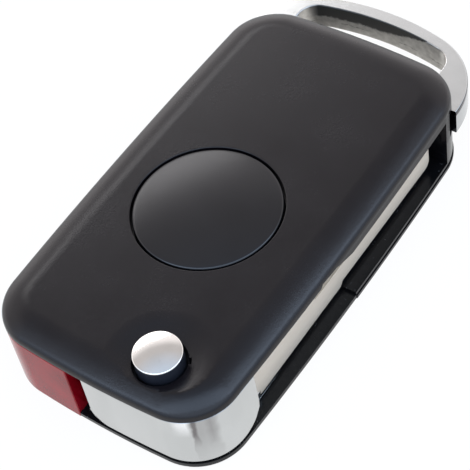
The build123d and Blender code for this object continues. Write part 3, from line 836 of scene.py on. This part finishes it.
def buildSpring(size):
    deselectAll()
    bpy.ops.mesh.primitive_circle_add(
        vertices=size["wireSteps"], radius=size["wire"] * mm,
        location=(size["coil"] * mm, 0, 0), rotation=(pi / 2, 0, 0),
    )
    spring = bpy.context.object
    spring.name = "coilSpring"
    applyPlace(spring)
    coil = spring.modifiers.new("coil", "SCREW")
    coil.axis = "Z"
    coil.angle = 2 * pi
    coil.screw_offset = size["pitch"] * mm
    coil.iterations = size["turns"]
    coil.steps = coil.render_steps = size["turnSteps"]
    applyModifier(spring, coil)
    bpy.ops.object.mode_set(mode="EDIT")
    bpy.ops.mesh.select_all(action="SELECT")
    bpy.ops.mesh.remove_doubles(threshold=meshSet["spunWeld"])
    bpy.ops.mesh.fill_holes(sides=0)
    bpy.ops.mesh.select_all(action="SELECT")
    bpy.ops.mesh.normals_make_consistent(inside=False)
    bpy.ops.transform.translate(value=(*pivot, size["low"] * mm))
    leaveEdit()
    smooth(spring, size["shade"], weighted=False)
    dress(spring, springSteel)
    settle(spring, "flip", "spring_steel", "flip_spring")
    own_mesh(spring)


buildDisc(discSet)
buildSpring(springSet)
print("release button built")


# Flip hub and blade

flipSet = {
    "hubEdge": 0.25 * mm, "hubSharp": 40, "shellFrom": 5.5 * mm, "cheekFrom": 15.2 * mm,
    "bladeEdge": 0.1 * mm, "bladeSteps": 2, "bladeSharp": 35,
}


def buildHub(size):
    hub = copyNode("flip_hub", "flipHub")

    def onShell(point):
        # outer edges of the shell, away from the cup, the neck and the blade
        away = hypot(point.x - pivot[0], point.y - pivot[1])
        return away > size["shellFrom"] or point.x > size["cheekFrom"]

    print("hub edges:", pickEdges(hub, onShell, size["hubSharp"]))
    roundPicked(size["hubEdge"])
    smooth(hub)
    dress(hub, satinChrome)
    settle(hub, "flip", "satin_chrome", "flip_hub")


def buildBlade(size):
    blade = copyNode("key_blade", "keyBlade")
    softEdges(blade, size["bladeEdge"], size["bladeSteps"], size["bladeSharp"])
    smooth(blade)
    dress(blade, bladeNickel)
    settle(blade, "flip", "blade_nickel", "key_blade")


buildHub(flipSet)
buildBlade(flipSet)
print("flip hub and blade built")


# Key ring: cast loop, polished outside and left rougher inside

ringSet = {
    "seamHeight": 7.3 * mm, "wallFrom": 26.3 * mm, "loopHalfWidth": 11.5 * mm,
    "loopEnd": 32.8 * mm, "loopMiddle": 29 * mm, "levelFrom": 0.97,
}


def buildRing(size):
    ring = copyNode("key_ring", "keyRing")
    makeActive(ring)
    bpy.ops.object.mode_set(mode="EDIT")
    bpy.ops.mesh.select_all(action="SELECT")
    bpy.ops.mesh.bisect(plane_co=(0, 0, size["seamHeight"]), plane_no=(0, 0, 1))
    leaveEdit()
    dress(ring, ringChrome, ringInner)

    def insideLoop(point, normal):
        # the wall of the opening and its round edges
        if not size["wallFrom"] < point.y < size["loopEnd"]:
            return False
        if abs(point.x) > size["loopHalfWidth"] or abs(normal.z) > size["levelFrom"]:
            return False
        return normal.dot(Vector((-point.x, size["loopMiddle"] - point.y, 0))) > 0

    print("ring inner faces:", pickFaces(ring, insideLoop))
    ring.active_material_index = 1
    bpy.ops.object.material_slot_assign()
    leaveEdit()
    smooth(ring)
    settle(ring, "case", "bright_chrome", "key_ring")


buildRing(ringSet)
print("key ring built")


# Screws, in millimetres: pan head with a cross recess, and a thread

screwSet = {
    # from the middle of the head, which looks down, to the shank
    "head": (
        (0, 0.95), (0.75, 0.96), (1.08, 1.02), (1.26, 1.15), (1.35, 1.35), (1.35, 1.79),
        (1.29, 1.85), (0.6, 1.85),
    ),
    "core": 0.6, "thread": 0.75, "threadFrom": 2.15, "pitch": 0.5, "threadTurns": 11,
    "flank": 0.2, "crest": 0.25, "point": ((0.25, 8.15), (0, 8.3)),
    "recessLow": 0.95, "recess": (1.24, 0.26, 1.0), "steps": 40, "shade": 35,
}


def screwProfile(size):
    core, thread, height = size["core"], size["thread"], size["threadFrom"]
    profile = list(size["head"])
    for _ in range(size["threadTurns"]):
        flank, crest = height + size["flank"], height + size["crest"]
        profile += [(core, height), (thread, flank), (thread, crest)]
        height += size["pitch"]
    return profile + [(core, height), *size["point"]]


def buildScrew(name, node, middle, size):
    screw = spinProfile(name, screwProfile(size), middle, size["steps"])
    for turn in (0, pi / 2):
        deselectAll()
        bpy.ops.mesh.primitive_cube_add(
            size=1, location=(*middle, size["recessLow"] * mm), rotation=(0, 0, turn)
        )
        cutter = bpy.context.object
        cutter.scale = [side * mm for side in size["recess"]]
        applyPlace(cutter)
        recess = screw.modifiers.new("recess", "BOOLEAN")
        recess.operation = "DIFFERENCE"
        recess.solver = "EXACT"
        recess.object = cutter
        applyModifier(screw, recess)
        bpy.data.objects.remove(cutter)
    smooth(screw, size["shade"], weighted=False)
    dress(screw, springSteel)
    settle(screw, "case", "spring_steel", node)


buildScrew("caseScrewLeft", "case_screw_left", (-13.3 * mm, 1.775 * mm), screwSet)
buildScrew("caseScrewRight", "case_screw_right", (9.7 * mm, 1.775 * mm), screwSet)
print("screws built")


# Camera, solved from the photograph

cameraSet = {
    "place": (86.084 * mm, -95.458 * mm, 160.138 * mm), "aim": (1.087 * mm, -5.847 * mm, 6.3 * mm),
    "roll": -11.8, "lens": 120.0, "sensor": 36.0, "clip": (0.01, 20.0),
}


def addCamera(values):
    place, aim = Vector(values["place"]), Vector(values["aim"])
    bpy.ops.object.camera_add(location=place)
    camera = bpy.context.object
    camera.name = "photoCamera"
    camera.data.lens = values["lens"]
    camera.data.sensor_width = values["sensor"]
    camera.data.clip_start, camera.data.clip_end = values["clip"]
    turn = (aim - place).to_track_quat("-Z", "Y").to_matrix().to_4x4()
    roll = Matrix.Rotation(radians(values["roll"]), 4, "Z")
    camera.matrix_world = Matrix.Translation(place) @ turn @ roll
    bpy.context.scene.camera = camera


addCamera(cameraSet)


# Floor, world and lights

floorSet = {
    "size": 3.0, "color": (0.93, 0.93, 0.93), "rough": 0.9, "glow": (1.0, 1.0, 1.0),
    # how much of the floor is plain white where the camera, a reflection or a lens sees it
    "glowShare": 0.93,
}
worldSet = {
    # direction to the side behind the part, and where along it the front blends into it
    "behind": (-0.69, 0.72, 0.0), "blend": (-0.25, 0.35),
    # brightness by the sine of the height above the horizon
    "behindSteps": (
        (0.0, 1.7), (0.15, 1.6), (0.35, 1.1), (0.55, 0.95), (0.69, 0.97), (0.77, 0.52),
        (0.83, 0.53), (1.0, 0.75),
    ),
    "frontSteps": (
        (0.0, 0.8), (0.2, 1.15), (0.4, 1.5), (0.55, 1.8), (0.75, 1.8), (0.88, 1.2), (1.0, 0.6),
    ),
    # steps above highFrom have the front's colour on both sides
    "behindColor": (1.03, 0.98, 0.99), "frontColor": (0.74, 0.88, 1.1), "highFrom": 0.9,
    "strength": 1.0,
}
keyPanelSet = {
    # the panel hangs below its upper border, which runs between two (turn, height) in degrees
    "from": (126, 40), "to": (164, 44), "reach": 0.6, "drop": 0.075,
    "radiance": 3.2, "color": (1.0, 0.985, 1.0),
}
overheadSet = {
    "place": (0.132, -0.138, 0.6), "size": (1.9, 0.3), "turn": 50.0,
    "radiance": 2.1, "color": (0.6, 0.76, 1.0),
}


def addFloor(values):
    bpy.ops.mesh.primitive_plane_add(size=values["size"], location=(0, 0, 0))
    floor = bpy.context.object
    floor.name = "paleFloor"
    applyPlace(floor)
    material, tree, shader = newMaterial("floorWhite")
    feed(tree, shader, {
        "Base Color": values["color"], "Roughness": values["rough"], "Specular IOR Level": 0.0,
    })
    glow = addNode(tree, "ShaderNodeEmission", {"Color": values["glow"], "Strength": 1.0})
    rays = tree.nodes.new("ShaderNodeLightPath").outputs
    seen = mathNode(tree, "MAXIMUM", rays["Is Camera Ray"], rays["Is Glossy Ray"])
    seen = mathNode(tree, "MAXIMUM", seen, rays["Is Transmission Ray"])
    share = multiply(tree, seen, values["glowShare"])
    inputs = {"Fac": share, 1: shader.outputs["BSDF"], 2: glow.outputs["Emission"]}
    mix = addNode(tree, "ShaderNodeMixShader", inputs)
    feed(tree, tree.nodes["Material Output"], {"Surface": mix.outputs["Shader"]})
    dress(floor, material)


def addWorld(values):
    world = bpy.data.worlds.new("whiteStudio")
    bpy.context.scene.world = world
    world.use_nodes = True
    tree = world.node_tree
    tree.nodes.clear()
    direction = tree.nodes.new("ShaderNodeTexCoord").outputs["Generated"]
    height = splitVector(tree, direction)["Z"]

    def sky(half):
        stops = []
        for place, level in values[half + "Steps"]:
            tint = values["frontColor" if place > values["highFrom"] else half + "Color"]
            stops.append((place, tuple(level * part for part in tint)))
        return rampNode(tree, height, stops)

    side = vectorNode(tree, "DOT_PRODUCT", direction, values["behind"], "Value")
    share = rangeNode(tree, side, *values["blend"])
    inputs = {
        "Color": mixColor(tree, share, sky("front"), sky("behind")), "Strength": values["strength"],
    }
    background = addNode(tree, "ShaderNodeBackground", inputs)
    addNode(tree, "ShaderNodeOutputWorld", {"Surface": background.outputs["Background"]})


def addLamp(name, size, values):
    bpy.ops.object.light_add(type="AREA", location=(0, 0, 0))
    lamp = bpy.context.object
    lamp.name = name
    lamp.data.shape = "RECTANGLE"
    lamp.data.size, lamp.data.size_y = size
    lamp.data.energy = values["radiance"] * pi * size[0] * size[1]
    lamp.data.color = values["color"]
    return lamp


def towards(turn, height):
    turn, height = radians(turn), radians(height)
    return Vector((cos(height) * cos(turn), cos(height) * sin(turn), sin(height)))


def addKeyPanel(values):
    start, end = (towards(*values[key]) * values["reach"] for key in ("from", "to"))
    along = (start - end).normalized()
    middle = (start + end) / 2
    facing = (middle - along * middle.dot(along)).normalized()
    up = facing.cross(along)
    if up.z < 0:
        up = -up
    lamp = addLamp("keyPanel", ((start - end).length, values["drop"]), values)
    turn = Matrix((up.cross(facing), up, facing)).transposed().to_4x4()
    lamp.matrix_world = Matrix.Translation(middle - up * values["drop"] / 2) @ turn


def addOverhead(values):
    lamp = addLamp("overheadSoftbox", values["size"], values)
    lamp.location = values["place"]
    lamp.rotation_euler = (0, 0, radians(values["turn"]))


addFloor(floorSet)
addWorld(worldSet)
addKeyPanel(keyPanelSet)
addOverhead(overheadSet)
bpy.context.scene.view_settings.view_transform = "Standard"
print("camera, floor and lights placed")
